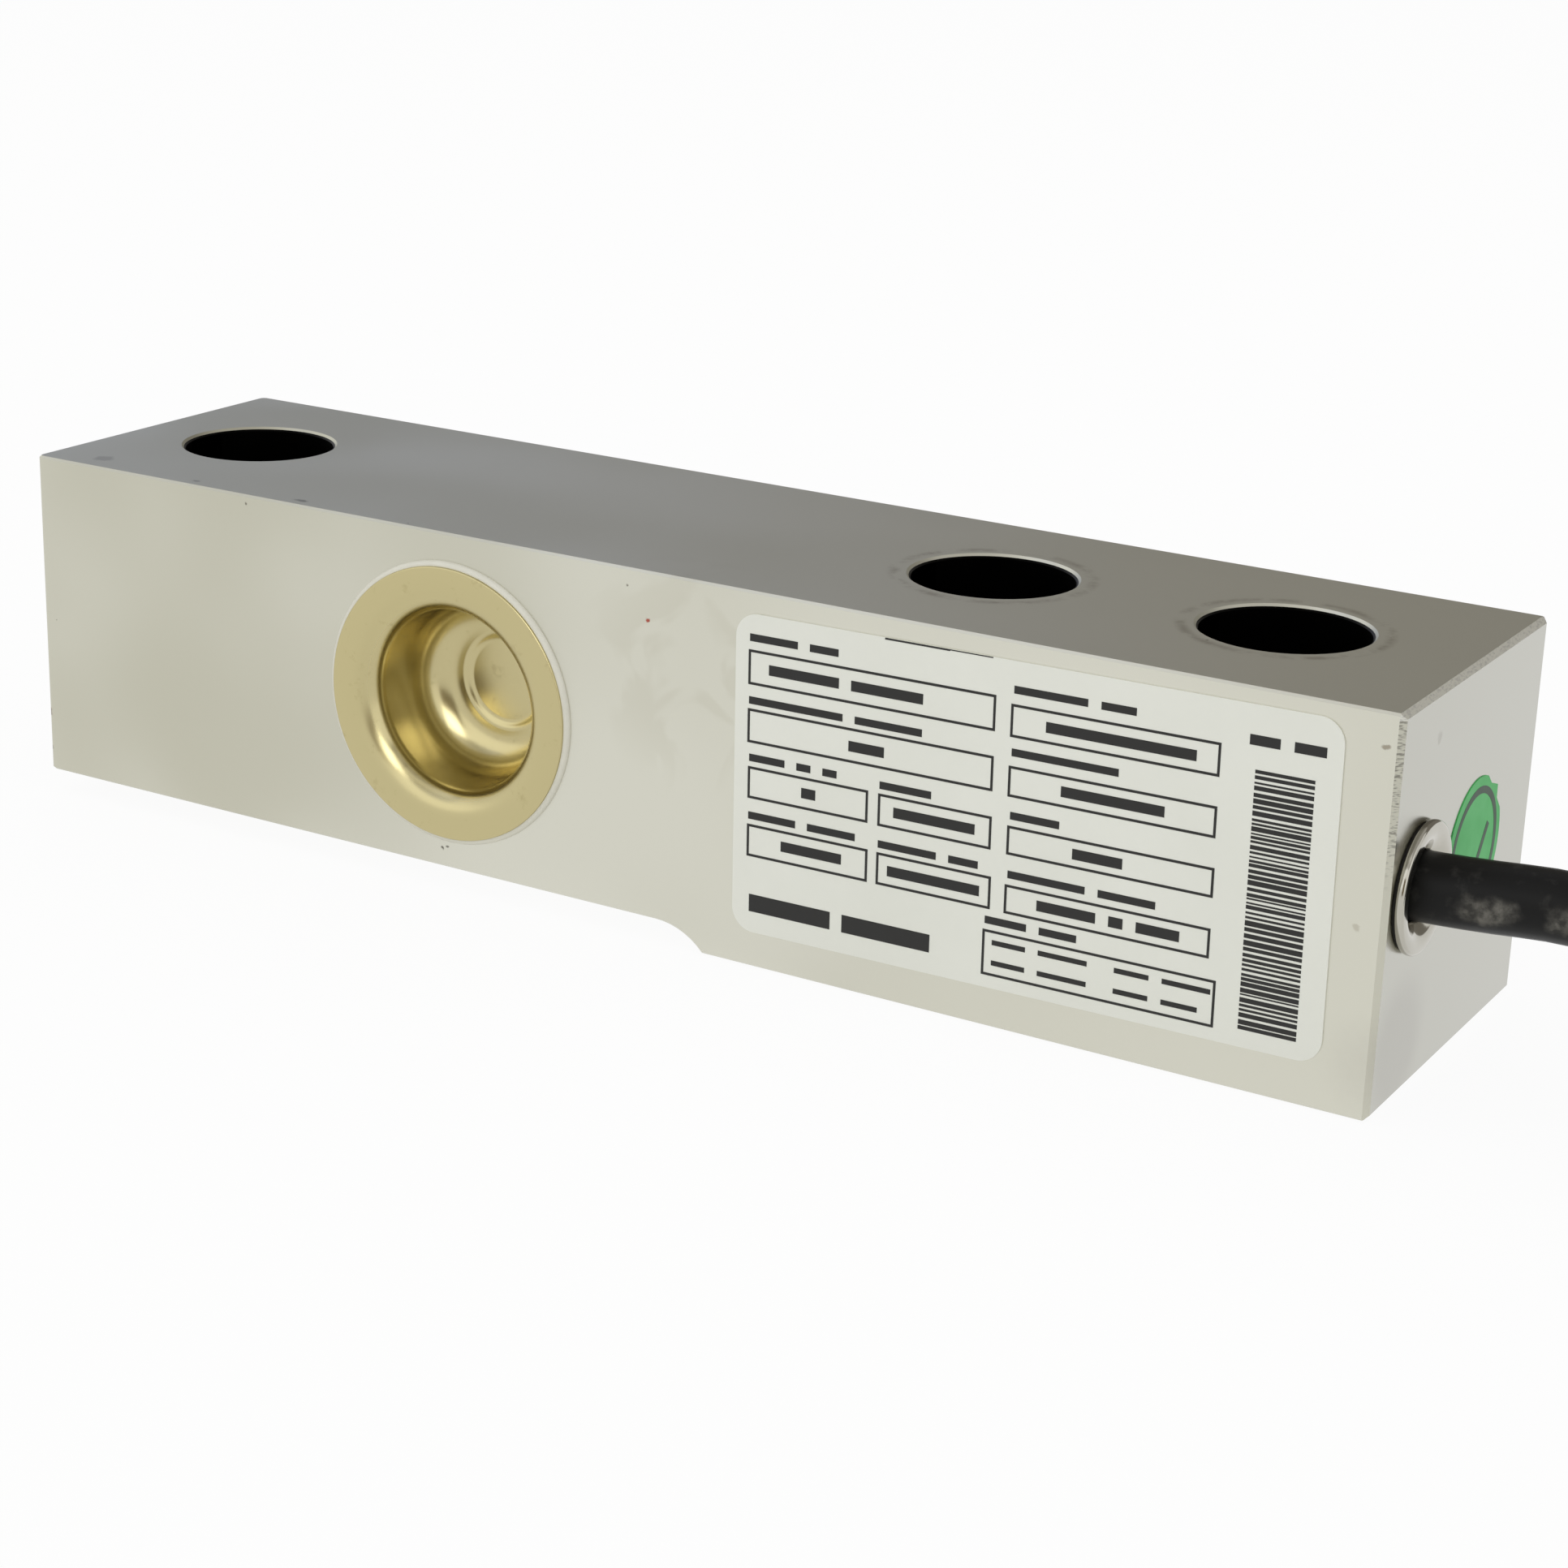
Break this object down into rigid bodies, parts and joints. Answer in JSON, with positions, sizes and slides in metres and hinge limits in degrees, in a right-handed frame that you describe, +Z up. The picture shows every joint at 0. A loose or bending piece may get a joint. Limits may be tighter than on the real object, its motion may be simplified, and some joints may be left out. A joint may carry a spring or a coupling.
{
  "type": "cantilever shear beam load cell",
  "caption": "Square nickel-plated steel beam that measures weight: bolted down at the cable end, loaded at the free end, with pressed sealing cups over the gauges in its web.",
  "frame": {"origin": "midway between the two mounting holes, on the underside of the mounting pad", "axes": "+X along the beam to the cable end, -Y the labelled side, +Z up through the mounting holes"},
  "size_m": [0.293, 0.0512, 0.0396],
  "materials": {
    "nickel_plated_steel": "satin nickel plate",
    "gold_passivated_steel": "gold-coloured passivate on pressed sheet",
    "white_bond": "cured sealant",
    "bright_nickel": "turned and bright nickel plated",
    "seal_rubber": "matte",
    "epoxy": "cast",
    "gauge_film": "amber film with foil grid",
    "circuit_board": "solder mask",
    "resistor_body": "lacquered",
    "fine_wire": "enamelled copper",
    "wire_green": "wire insulation",
    "wire_black": "wire insulation",
    "wire_white": "wire insulation",
    "wire_red": "wire insulation",
    "tinned_copper": "tinned strands",
    "cable_jacket": "matte extruded jacket",
    "tie_nylon": "moulded",
    "sleeve_polyolefin": "shrunk sleeve",
    "label_film": "white printed film",
    "sticker_film": "green film"
  },
  "bodies": {
    "root": {"beam_body": "nickel_plated_steel", "front_sealing_cup": "gold_passivated_steel", "rear_sealing_cup": "gold_passivated_steel", "front_cup_bond": "white_bond", "rear_cup_bond": "white_bond", "cable_bushing": "bright_nickel", "bushing_seal": "seal_rubber", "potting_plug": "epoxy", "front_shear_gauge": "gauge_film", "rear_shear_gauge": "gauge_film", "terminal_board": "circuit_board", "rear_terminal_strip": "circuit_board", "balance_resistor": "resistor_body", "span_resistor": "resistor_body", "front_gauge_wires": "fine_wire", "rear_gauge_wires": "fine_wire", "bridge_jumpers": "fine_wire", "inner_lead_green": "wire_green", "inner_lead_black": "wire_black", "inner_lead_white": "wire_white", "inner_lead_red": "wire_red", "rating_label": "label_film", "inspection_sticker": "sticker_film", "signal_cable": "cable_jacket", "cable_hank": "cable_jacket", "cable_tail": "cable_jacket", "hank_tie_front": "tie_nylon", "hank_tie_rear": "tie_nylon", "end_sleeve": "sleeve_polyolefin", "lead_green": "wire_green", "lead_black": "wire_black", "lead_white": "wire_white", "lead_red": "wire_red", "shield_drain": "tinned_copper"}
  },
  "joints": []
}
